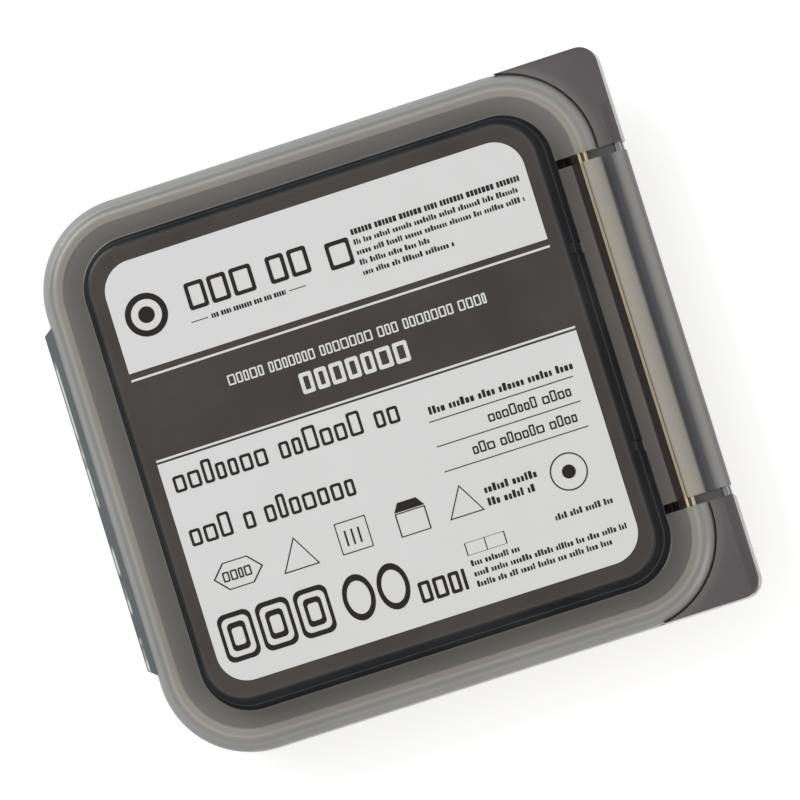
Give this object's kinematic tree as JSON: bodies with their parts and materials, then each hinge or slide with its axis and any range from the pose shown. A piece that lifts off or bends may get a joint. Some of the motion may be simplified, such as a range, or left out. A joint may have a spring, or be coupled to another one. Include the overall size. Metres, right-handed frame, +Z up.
{
  "type": "hinged case of rotary root-canal files",
  "caption": "Smoky translucent hinged storage case with a printed label, holding latch-type rotary root-canal files with silicone stoppers in a grooved tray.",
  "frame": {"origin": "centre of the footprint, on the surface the closed case lies on", "axes": "+X from the thumb tab to the hinge, +Y to the top of the label, +Z up"},
  "size_m": [0.0661, 0.0618, 0.014],
  "materials": {
    "case_smoke": "smoky translucent, glossy outside and softly frosted inside",
    "hinge_steel": "drawn wire",
    "label_print": "satin printed film",
    "dark_foam": "fine-celled foam",
    "tray_black": "satin moulded",
    "handle_gold": "turned and gold plated",
    "niti": "ground nickel-titanium",
    "ring_white": "satin",
    "stopper_silicone": "soft matte silicone"
  },
  "bodies": {
    "base": {"base_shell": "case_smoke", "file_tray": "tray_black", "tray_foam": "dark_foam"},
    "lid": {"lid_shell": "case_smoke", "hinge_pin": "hinge_steel", "label_film": "label_print", "lid_foam": "dark_foam"},
    "file_1": {"file_1_handle": "handle_gold", "file_1_blade": "niti", "file_1_rings": "ring_white"},
    "stopper_1": {"file_1_stopper": "stopper_silicone"},
    "file_2": {"file_2_handle": "handle_gold", "file_2_blade": "niti", "file_2_rings": "ring_white"},
    "stopper_2": {"file_2_stopper": "stopper_silicone"},
    "file_3": {"file_3_handle": "handle_gold", "file_3_blade": "niti", "file_3_rings": "ring_white"},
    "stopper_3": {"file_3_stopper": "stopper_silicone"},
    "file_4": {"file_4_handle": "handle_gold", "file_4_blade": "niti", "file_4_rings": "ring_white"},
    "stopper_4": {"file_4_stopper": "stopper_silicone"},
    "file_5": {"file_5_handle": "handle_gold", "file_5_blade": "niti", "file_5_rings": "ring_white"},
    "stopper_5": {"file_5_stopper": "stopper_silicone"},
    "file_6": {"file_6_handle": "handle_gold", "file_6_blade": "niti", "file_6_rings": "ring_white"},
    "stopper_6": {"file_6_stopper": "stopper_silicone"}
  },
  "joints": [
    {"name": "lid_hinge", "type": "hinge", "parent": "base", "child": "lid", "pos_m": [0.0322, 0, 0.00835], "axis": [0, 1, 0], "range_deg": [0, 180]},
    {"name": "file_1_lift", "type": "slide", "parent": "base", "child": "file_1", "axis": [0, 0, 1], "range_m": [0, 0.004]},
    {"name": "stopper_1_slide", "type": "slide", "parent": "file_1", "child": "stopper_1", "axis": [0, -1, 0], "range_m": [0, 0.009]},
    {"name": "file_2_lift", "type": "slide", "parent": "base", "child": "file_2", "axis": [0, 0, 1], "range_m": [0, 0.004]},
    {"name": "stopper_2_slide", "type": "slide", "parent": "file_2", "child": "stopper_2", "axis": [0, -1, 0], "range_m": [0, 0.009]},
    {"name": "file_3_lift", "type": "slide", "parent": "base", "child": "file_3", "axis": [0, 0, 1], "range_m": [0, 0.004]},
    {"name": "stopper_3_slide", "type": "slide", "parent": "file_3", "child": "stopper_3", "axis": [0, -1, 0], "range_m": [0, 0.009]},
    {"name": "file_4_lift", "type": "slide", "parent": "base", "child": "file_4", "axis": [0, 0, 1], "range_m": [0, 0.004]},
    {"name": "stopper_4_slide", "type": "slide", "parent": "file_4", "child": "stopper_4", "axis": [0, -1, 0], "range_m": [0, 0.009]},
    {"name": "file_5_lift", "type": "slide", "parent": "base", "child": "file_5", "axis": [0, 0, 1], "range_m": [0, 0.004]},
    {"name": "stopper_5_slide", "type": "slide", "parent": "file_5", "child": "stopper_5", "axis": [0, -1, 0], "range_m": [0, 0.009]},
    {"name": "file_6_lift", "type": "slide", "parent": "base", "child": "file_6", "axis": [0, 0, 1], "range_m": [0, 0.004]},
    {"name": "stopper_6_slide", "type": "slide", "parent": "file_6", "child": "stopper_6", "axis": [0, -1, 0], "range_m": [0, 0.009]}
  ]
}
